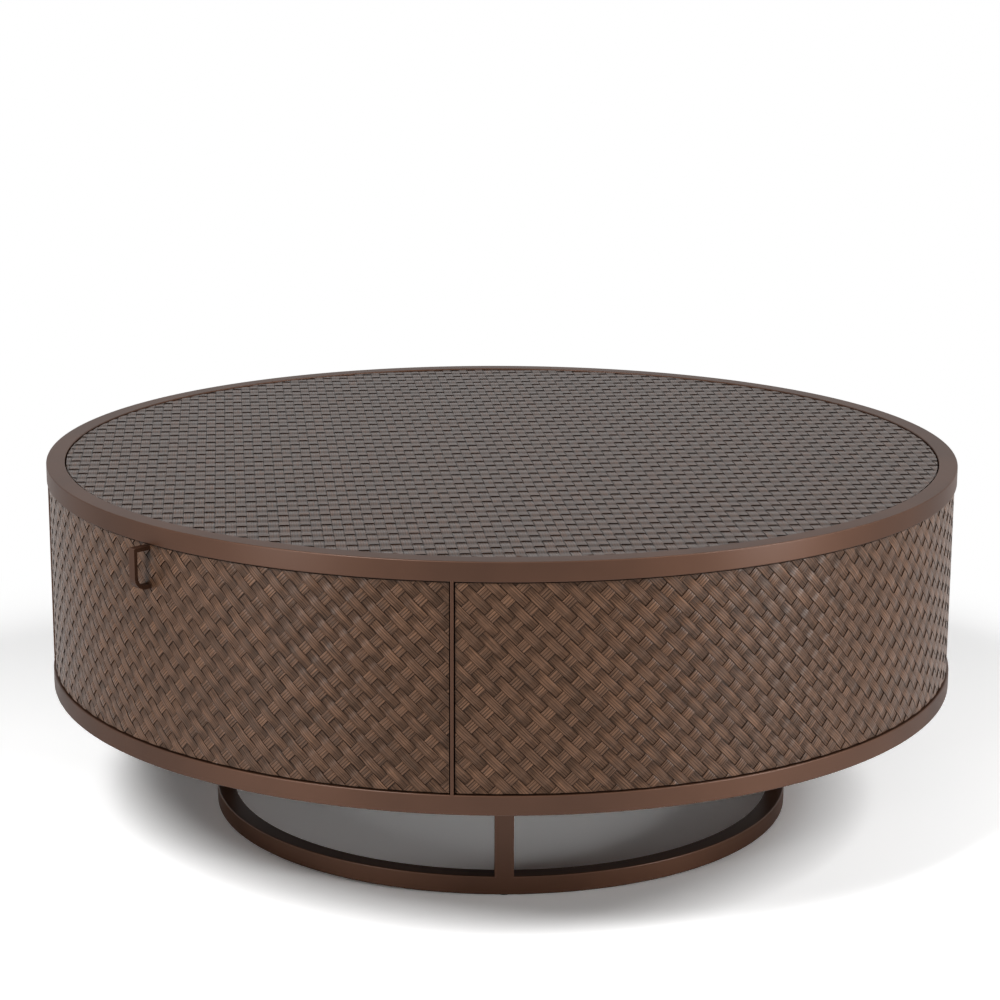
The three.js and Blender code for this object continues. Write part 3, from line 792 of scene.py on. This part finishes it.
def cane_material(name, dark, middle, pale, shine):
    """Three browns along the fibres, dark lines at the strip's own spacing, painted shade in the strip's low
    parts, where the colour is multiplied by valley, and painted shade between neighbouring strips, over
    edge_reach millimetres from the edge. Where the lines and the painted shade are dark, the gloss is lower
    too."""
    material, tree = new_material(name)
    notes = {
        key: add(tree, "ShaderNodeAttribute", attribute_name=key, attribute_type="GEOMETRY").outputs
        for key in ("strip", "line", "edge")
    }
    along, across, own = add(tree, "ShaderNodeSeparateXYZ", {0: notes["strip"]["Vector"]}).outputs
    count, depth, lift = add(tree, "ShaderNodeSeparateXYZ", {0: notes["line"]["Vector"]}).outputs

    def along_strip(along_mm, across_mm, detail, seed):
        """Noise whose grains are along_mm long and across_mm wide on the strip."""
        place = add(tree, "ShaderNodeCombineXYZ", {
            0: add(tree, "ShaderNodeMath", {0: along, 1: 1 / along_mm}, operation="MULTIPLY"),
            1: add(tree, "ShaderNodeMath", {0: across, 1: 1 / across_mm}, operation="MULTIPLY"),
            2: add(tree, "ShaderNodeMath", {0: own, 1: own_places, 2: seed}, operation="MULTIPLY_ADD"),
        })
        return add(tree, "ShaderNodeTexNoise", {
            "Vector": place, "Scale": 1.0, "Detail": detail, "Roughness": 0.6,
        })

    fibre = along_strip(along_mm=40, across_mm=1.4, detail=2.0, seed=31.0)
    slow = along_strip(along_mm=30, across_mm=14, detail=1.0, seed=57.0)
    wander = along_strip(along_mm=60, across_mm=6, detail=1.0, seed=11.0)

    wavy = add(tree, "ShaderNodeMath", {0: wander, 1: line_wander, 2: count}, operation="MULTIPLY_ADD")
    near = add(tree, "ShaderNodeMath", {0: wavy, 1: 0.5}, operation="PINGPONG")
    in_line = add(tree, "ShaderNodeMapRange", {
        "Value": near, "From Min": line_core, "From Max": line_halo, "To Min": 1.0, "To Max": 0.0,
    }, interpolation_type="SMOOTHSTEP")
    dark_line = add(tree, "ShaderNodeMath", {0: in_line, 1: depth}, operation="MULTIPLY")
    lined = add(tree, "ShaderNodeMath", {0: 1.0, 1: dark_line}, operation="SUBTRACT")
    # Painted shade: the colour darkens where the strip lies low, between the crossings.
    valley_shade = add(tree, "ShaderNodeMapRange", {
        "Value": lift, "From Min": 0.0, "From Max": valley_lift, "To Min": valley, "To Max": 1.0,
    })
    edge = notes["edge"]["Fac"]
    # Painted shade: the colour darkens towards each strip's edge, between neighbouring strips.
    between = add(tree, "ShaderNodeMapRange", {
        "Value": edge, "From Min": 0.0, "From Max": edge_reach, "To Min": edge_dark, "To Max": 1.0,
    })
    shade = add(tree, "ShaderNodeMath", {0: lined, 1: valley_shade}, operation="MULTIPLY")
    shade = add(tree, "ShaderNodeMath", {0: shade, 1: between}, operation="MULTIPLY")

    tone = add(tree, "ShaderNodeMath", {0: fibre, 1: fibre_share}, operation="MULTIPLY")
    tone = add(tree, "ShaderNodeMath", {0: own, 1: own_share, 2: tone}, operation="MULTIPLY_ADD")
    tone = add(tree, "ShaderNodeMath", {0: slow, 1: slow_share, 2: tone}, operation="MULTIPLY_ADD")
    ramp = add(tree, "ShaderNodeValToRGB", {0: tone})
    stops = ramp.color_ramp.elements
    stops[0].position, stops[0].color = dark_stop, dark
    stops[1].position, stops[1].color = pale_stop, pale
    stops.new(middle_stop).color = middle
    colour = add(tree, "ShaderNodeVectorMath", {0: ramp, "Scale": shade}, operation="SCALE")

    groove = add(tree, "ShaderNodeMath", {0: in_line, 1: -line_groove}, operation="MULTIPLY")
    grain = add(tree, "ShaderNodeMath", {0: fibre, 1: fibre_relief, 2: groove}, operation="MULTIPLY_ADD")
    bump = add(tree, "ShaderNodeBump", {"Height": grain, "Strength": 0.35, "Distance": 0.5 * MM})
    rough = add(tree, "ShaderNodeMapRange", {
        "Value": fibre, "From Min": 0.3, "From Max": 0.7, "To Min": 0.32, "To Max": 0.42,
    })
    # The gloss is turned down with the fibre lines and the painted shade.
    gloss = add(tree, "ShaderNodeMath", {0: shade, 1: shine}, operation="MULTIPLY")
    shader = add(tree, "ShaderNodeBsdfPrincipled", {
        "Base Color": colour, "Roughness": rough, "IOR": 1.5, "Specular IOR Level": gloss, "Normal": bump,
    })
    finish_material(tree, shader)
    return material


side_browns = [linear(brown) for brown in ("#432f21", "#573e2e", "#6e503c")]
# The top is the same cane as the sides, in darker browns and with a little more gloss: a shaded copy,
# painted shade for the top.
top_shaded_browns = [linear(brown) for brown in ("#2c1d14", "#3b271b", "#4e3425")]
side_cane = cane_material("stained split cane", *side_browns, shine=0.23)
top_shaded_cane = cane_material("stained split cane, darker for the top as painted shade", *top_shaded_browns, shine=0.27)
print("made", side_cane.name, "/", top_shaded_cane.name)

# %% [markdown]
# The sides and the drawer fronts are cut from one kind of sheet, laid at forty-five degrees. A sheet
# is flat while it is woven and bent round the drum afterwards, so the strips are worked out on the
# unrolled panel: the arc length along the drum and the height.

# %% Side sheets
wide_pitch, cross_pitch = 12.08, 25.15
wide_width, cross_width = 11.95, 13.3
wide_flat, wide_foot, wide_half_gap = 3.2, 12.2, 18.0
cross_flat, cross_foot = 4.4, 7.2
wide_slope = wide_flat + 1.5 * np.arange(7)
cross_slope = np.array([cross_flat, 5.4, 6.4, cross_foot])
one_float = np.concatenate([-wide_slope[::-1], [0], wide_slope])
wide_marks = np.concatenate([[-wide_half_gap], one_float, [wide_half_gap, cross_pitch]])
cross_marks = np.concatenate([-cross_slope[::-1], [0], cross_slope, [wide_pitch]])
wide_profile = (wide_marks, wide_flat, wide_foot, 2.9, 0.50)
cross_profile = (cross_marks, cross_flat, cross_foot, 3.3, 0.60)


def side_sheet(name, node, body, middle_azimuth, half_angle, square_azimuth, square_height, seed):
    """One woven panel. A square of the weave lies at the given azimuth, in degrees, and height."""
    random = np.random.default_rng(seed)
    reach = weave_outer * (half_angle - math.asin(panel_side_offset / weave_outer))
    region = rectangle_span((-reach, panel_low), (reach, panel_high))
    origin = np.array([weave_outer * (math.radians(square_azimuth) - middle_azimuth), square_height])
    down, up = math.radians(-45), math.radians(45)
    wide = strips(down, origin, wide_pitch, cross_pitch, 1, wide_width, wide_profile, region, random)
    cross = strips(up, origin, cross_pitch, wide_pitch, 0, cross_width, cross_profile, region, random)

    def wrap(plan, height):
        """Arc length over radius is the azimuth, and the strip's height adds to the radius."""
        flat = around(weave_inner + height, middle_azimuth + plan[:, 0] / weave_outer)
        return np.column_stack([flat, plan[:, 1]])

    points, groups, notes = tidy_weave([wide, cross], wrap)
    piece = lay(name, points, groups, side_cane, attributes=notes)
    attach(piece, body)
    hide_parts(node)
    return piece


sheets = [
    side_sheet("woven_side_right", "side_weave_right", "root", math.pi / 2, panel_half, 66.08, 336.0, 11),
    side_sheet("woven_front_a", "drawer_a_weave", "drawer_a", 0.0, drawer_half, 14.92, 326.4, 12),
    side_sheet("woven_side_left", "side_weave_left", "root", -math.pi / 2, panel_half, -113.92, 336.0, 13),
    side_sheet("woven_front_b", "drawer_b_weave", "drawer_b", math.pi, drawer_half, 194.92, 326.4, 14),
]
for sheet in sheets:
    sheet.data.calc_loop_triangles()
    print(sheet.name, len(sheet.data.loop_triangles), "triangles")

# %% [markdown]
# The top sheet is the same cloth laid almost square to the line of view, a little coarser. It holds
# more strips than one piece should, so it comes as a weaver's loom holds it: the long strips in two
# sheds, every other one in each, and the cross strips likewise.

# %% Top sheet
top_wide_pitch, top_cross_pitch = 12.45, 24.93
top_turn = math.radians(6.2)
top_square = (-2.4, -445.5)
top_run = view_turn + top_turn - math.pi / 2
top_radius = top_high[0]
top_cross_foot = 7.4
first_top_seed = 30


def top_sheet():
    """Four pieces: long strips, one and two, and cross strips, one and two."""
    origin = np.array(to_part.to_2x2() @ Vector(top_square))
    region = disc_span(top_radius)
    coarser = top_wide_pitch / wide_pitch
    top_cross_profile = (cross_marks * coarser, cross_flat, top_cross_foot, *cross_profile[3:])
    long_set = (top_run, origin, top_wide_pitch, top_cross_pitch, 1, wide_width * coarser, wide_profile)
    cross_set = (
        top_run + math.pi / 2, origin, top_cross_pitch, top_wide_pitch, 0, cross_width, top_cross_profile,
    )
    made = []
    for kind, settings in (("long", long_set), ("cross", cross_set)):
        for shed in (0, 1):
            random = np.random.default_rng(first_top_seed + shed)
            part = strips(*settings, region, random, only=shed)
            points, groups, notes = tidy_weave([part], lay_flat)
            piece = lay(f"woven_top_{kind}_{shed + 1}", points, groups, top_shaded_cane, attributes=notes)
            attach(piece, "root")
            made.append(piece)
    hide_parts("top_weave")
    return made


for piece in top_sheet():
    piece.data.calc_loop_triangles()
    print(piece.name, len(piece.data.loop_triangles), "triangles")

# %% [markdown]
# Behind the sheets are boards: bent plywood for the sides and drawer fronts, and round boards above and
# below. They are coloured dark as painted shade, so that what shows between the strips looks shaded.

# %% Dark boards


def dark_board_material():
    """Dark veneer, painted shade for the gaps: long fine grain along the height, in two close browns, half
    matt.
    """
    material, tree = new_material("plywood veneer, dark as painted shade")
    spot = add(tree, "ShaderNodeTexCoord").outputs["Object"]
    stretch = (grains(2.4), grains(2.4), grains(110))
    place = add(tree, "ShaderNodeMapping", {"Vector": spot, "Scale": stretch})
    grain = add(tree, "ShaderNodeTexNoise", {
        "Vector": place, "Scale": 1.0, "Detail": 3.0, "Roughness": 0.6,
    })
    browns = {0: grain, "A": linear("#2a1e17"), "B": linear("#4a3629")}
    colour = add(tree, "ShaderNodeMix", browns, data_type="RGBA")
    bump = add(tree, "ShaderNodeBump", {"Height": grain, "Strength": 0.25, "Distance": 0.2 * MM})
    shader = add(tree, "ShaderNodeBsdfPrincipled", {"Base Color": colour, "Roughness": 0.55, "Normal": bump})
    finish_material(tree, shader)
    return material


dark_board = dark_board_material()
arc_stations = 90


def bent_outline(inner, outer, half_angle):
    """Plan of a bent board that faces -Y, anticlockwise: the outer arc one way and the inner arc back,
    each ending one side offset from the bars' middle lines."""
    t = np.linspace(-1, 1, arc_stations)
    reach = [half_angle - math.asin(panel_side_offset / radius) for radius in (outer, inner)]
    return np.concatenate([around(outer, t * reach[0]), around(inner, -t * reach[1])])


for name, node, body, azimuth, half in (
    ("bent_side_right", "side_board_right", "root", math.pi / 2, panel_half),
    ("bent_side_left", "side_board_left", "root", -math.pi / 2, panel_half),
    ("bent_front_a", "drawer_a_front", "drawer_a", 0.0, drawer_half),
    ("bent_front_b", "drawer_b_front", "drawer_b", math.pi, drawer_half),
):
    outline = bent_outline(board_inner, board_outer, half)
    points, groups = thick(outline, panel_low, panel_high, edge=0.6, steps=2)
    board = even_shading(lay(name, turned(points, azimuth), groups, dark_board))
    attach(board, body)
    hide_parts(node)

# %% [markdown]
# The drawer boxes are birch plywood, clear lacquered. On a face it shows long pale grain, and on a cut
# edge its thin layers, so the material looks at which way the surface faces against the way the board
# lies.

# %% Birch plywood
layer_pair = 2.8


def plywood_material(name, thin_axis, grain_axis):
    """Birch plywood lying across thin_axis (0 x, 1 y, 2 z): grain along grain_axis on the faces, and
    1.4 mm layers, a pale and a dark one to a pair, on the edges."""
    material, tree = new_material(name)
    coordinates = add(tree, "ShaderNodeTexCoord")
    spot = coordinates.outputs["Object"]
    stretch = [grains(7.7)] * 3
    stretch[grain_axis] = grains(200)
    place = add(tree, "ShaderNodeMapping", {"Vector": spot, "Scale": tuple(stretch)})
    grain = add(tree, "ShaderNodeTexNoise", {
        "Vector": place, "Scale": 1.0, "Detail": 4.0, "Roughness": 0.65, "Distortion": 0.4,
    })
    pale_browns = {0: grain, "A": linear("#b98f5e"), "B": linear("#dcbf92")}
    face = add(tree, "ShaderNodeMix", pale_browns, data_type="RGBA")

    depth = add(tree, "ShaderNodeSeparateXYZ", {0: spot}).outputs[thin_axis]
    layer = add(tree, "ShaderNodeMath", {0: depth, 1: grains(layer_pair)}, operation="MULTIPLY")
    layer = add(tree, "ShaderNodeMath", {0: layer}, operation="FRACT")
    layer = add(tree, "ShaderNodeMath", {0: layer, 1: 0.5}, operation="GREATER_THAN")
    layer_browns = {0: layer, "A": linear("#8d6338"), "B": linear("#d0ab78")}
    edge = add(tree, "ShaderNodeMix", layer_browns, data_type="RGBA")

    facing = add(tree, "ShaderNodeSeparateXYZ", {0: coordinates.outputs["Normal"]}).outputs[thin_axis]
    facing = add(tree, "ShaderNodeMath", {0: facing}, operation="ABSOLUTE")
    is_face = add(tree, "ShaderNodeMath", {0: facing, 1: 0.5}, operation="GREATER_THAN")
    colour = add(tree, "ShaderNodeMix", {0: is_face, "A": edge, "B": face}, data_type="RGBA")
    bump = add(tree, "ShaderNodeBump", {"Height": grain, "Strength": 0.15, "Distance": 0.2 * MM})
    shader = add(tree, "ShaderNodeBsdfPrincipled", {"Base Color": colour, "Roughness": 0.45, "Normal": bump})
    finish_material(tree, shader)
    return material


ply_across_x = plywood_material("birch plywood, standing along y", 0, 1)
ply_across_y = plywood_material("birch plywood, standing along x", 1, 0)
ply_flat = plywood_material("birch plywood, lying flat", 2, 0)
print("plywood in three lays")

# %% [markdown]
# The runners are rolled steel with a zinc finish, the screws bright steel, and the glides pressed felt.

# %% Zinc, bright steel and felt


def zinc_material():
    """Zinc plating: pale blue-grey metal with soft spangles a few millimetres wide and lines of rolling
    along Y, 0.4 mm apart."""
    material, tree = new_material("zinc plated rolled steel")
    spot = add(tree, "ShaderNodeTexCoord").outputs["Object"]
    stretch = (grains(0.4), grains(33), grains(0.4))
    spangle = add(tree, "ShaderNodeTexVoronoi", {"Vector": spot, "Scale": grains(3.8), "Randomness": 1.0})
    rolled = add(tree, "ShaderNodeMapping", {"Vector": spot, "Scale": stretch})
    rolling = add(tree, "ShaderNodeTexNoise", {"Vector": rolled, "Scale": 1.0, "Detail": 2.0})
    tone = add(tree, "ShaderNodeMath", {0: spangle, 1: 0.4, 2: rolling}, operation="MULTIPLY_ADD")
    greys = {0: tone, "A": linear("#9ba0a4"), "B": linear("#bcc0c2")}
    colour = add(tree, "ShaderNodeMix", greys, data_type="RGBA")
    rough = add(tree, "ShaderNodeMapRange", {
        "Value": rolling, "From Min": 0.2, "From Max": 0.8, "To Min": 0.28, "To Max": 0.42,
    })
    metal = {"Base Color": colour, "Metallic": 1.0, "Roughness": rough}
    shader = add(tree, "ShaderNodeBsdfPrincipled", metal)
    finish_material(tree, shader)
    return material


def screw_material():
    """Bright steel screws: a turned shine with faint scratches, drawn as noise 0.7 mm wide, which is
    coarser than they are."""
    material, tree = new_material("bright steel screws")
    spot = add(tree, "ShaderNodeTexCoord").outputs["Object"]
    scratch = add(tree, "ShaderNodeTexNoise", {"Vector": spot, "Scale": grains(0.7), "Detail": 2.0})
    rough = add(tree, "ShaderNodeMapRange", {
        "Value": scratch, "From Min": 0.3, "From Max": 0.7, "To Min": 0.2, "To Max": 0.34,
    })
    greys = {0: scratch, "A": linear("#85888b"), "B": linear("#9a9da0")}
    colour = add(tree, "ShaderNodeMix", greys, data_type="RGBA")
    metal = {"Base Color": colour, "Metallic": 1.0, "Roughness": rough}
    shader = add(tree, "ShaderNodeBsdfPrincipled", metal)
    finish_material(tree, shader)
    return material


def felt_material():
    """Pressed felt: near black, with tangled fibres that lift the surface. They are a few hundredths of
    a millimetre thick, and drawn ten times as coarse."""
    material, tree = new_material("black pressed felt")
    spot = add(tree, "ShaderNodeTexCoord").outputs["Object"]
    fibres = add(tree, "ShaderNodeTexNoise", {
        "Vector": spot, "Scale": grains(0.33), "Detail": 3.0, "Roughness": 0.7,
    })
    blacks = {0: fibres, "A": linear("#121110"), "B": linear("#2b2927")}
    colour = add(tree, "ShaderNodeMix", blacks, data_type="RGBA")
    bump = add(tree, "ShaderNodeBump", {"Height": fibres, "Strength": 0.7, "Distance": 0.3 * MM})
    shader = add(tree, "ShaderNodeBsdfPrincipled", {"Base Color": colour, "Roughness": 0.95, "Normal": bump})
    finish_material(tree, shader)
    return material


zinc, screw_steel, felt = zinc_material(), screw_material(), felt_material()
print("made", zinc.name, "/", screw_steel.name, "/", felt.name)

# %% [markdown]
# The remaining CAD nodes are shown as they are, with a finish and a small broken edge. Their
# triangles are loose, so a Weld modifier joins them before the Bevel, and the nodes themselves stay
# as packed.

# %% Dress the CAD nodes


def dress(node, material, edge_mm=0.0):
    """A finish for a CAD node, and where edge_mm is given a rounded edge of that width."""
    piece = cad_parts[node]
    piece.data.materials.clear()
    piece.data.materials.append(material)
    if edge_mm:
        weld = piece.modifiers.new("join the triangles", "WELD")
        weld.merge_threshold = 0.01 * MM
        bevel = piece.modifiers.new("broken edge", "BEVEL")
        bevel.width = edge_mm * MM
        bevel.segments = 2
        bevel.limit_method = "ANGLE"
        bevel.angle_limit = math.radians(40)
    return piece


sheet_edge, screw_edge, board_edge, thin_board_edge = 0.25, 0.3, 0.8, 0.4

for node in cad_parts:
    if node.startswith("runner_"):
        dress(node, zinc, sheet_edge)
    elif "screw" in node:
        dress(node, screw_steel, screw_edge)
    elif node.startswith("floor_glide"):
        dress(node, felt, screw_edge)
    elif node in ("top_board", "bottom_board"):
        dress(node, dark_board, board_edge)
    elif node.startswith("batten_"):
        dress(node, ply_across_y, board_edge)
    elif node.startswith("partition_") or "_side_" in node:
        dress(node, ply_across_x, board_edge)
    elif node == "centre_divider" or node.endswith("_back"):
        dress(node, ply_across_y, board_edge)
    elif node.endswith("_bottom"):
        dress(node, ply_flat, thin_board_edge)
plain = [o.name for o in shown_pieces() if not o.data.materials or o.data.materials[0] is None]
print("pieces without a finish:", plain)
